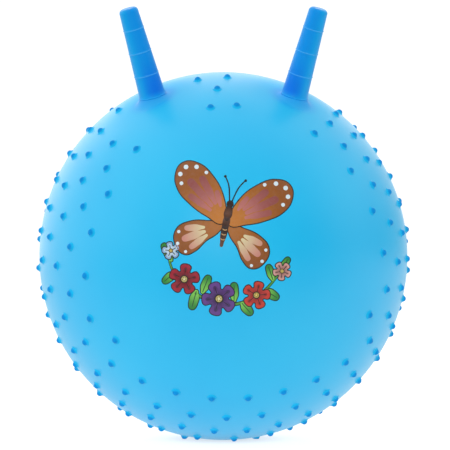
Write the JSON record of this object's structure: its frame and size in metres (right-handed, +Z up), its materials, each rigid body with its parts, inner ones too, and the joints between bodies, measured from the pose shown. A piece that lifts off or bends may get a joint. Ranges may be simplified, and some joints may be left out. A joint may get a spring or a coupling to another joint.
{
  "type": "hopper ball",
  "caption": "Inflatable hopper ball with raised nubs over its skin, two upright ringed horns to hold while bouncing, and a plugged air valve at the back.",
  "frame": {"origin": "centre of the flattened foot that the ball rests on", "axes": "+Z up, towards the horns; -Y towards the front with the picture; +X to the right, seen from the front"},
  "size_m": [0.4571, 0.4542, 0.5172],
  "materials": {
    "ball_vinyl": "satin",
    "horn_vinyl": "satin",
    "valve_vinyl": "satin",
    "plug_plastic": "satin"
  },
  "bodies": {
    "ball": {"ball_skin": "ball_vinyl", "left_horn_root": "horn_vinyl", "right_horn_root": "horn_vinyl", "valve_seat": "valve_vinyl"},
    "left_horn": {"left_horn": "horn_vinyl"},
    "right_horn": {"right_horn": "horn_vinyl"},
    "valve_plug": {"valve_plug": "plug_plastic"}
  },
  "joints": [
    {"name": "left_horn_bend", "type": "hinge", "parent": "ball", "child": "left_horn", "pos_m": [-0.08682, -0.09923, 0.42368], "axis": [0.9632, 0, 0.2689], "range_deg": [-30, 30], "stiffness_Nm_per_rad": 6, "deforming": ["left_horn_root"]},
    {"name": "right_horn_bend", "type": "hinge", "parent": "ball", "child": "right_horn", "pos_m": [0.08682, -0.09923, 0.42368], "axis": [0.9632, 0, -0.2689], "range_deg": [-30, 30], "stiffness_Nm_per_rad": 6, "deforming": ["right_horn_root"]},
    {"name": "valve_plug_pull", "type": "slide", "parent": "ball", "child": "valve_plug", "axis": [-0.037, 0.8472, -0.5299], "range_m": [0, 0.03]}
  ]
}
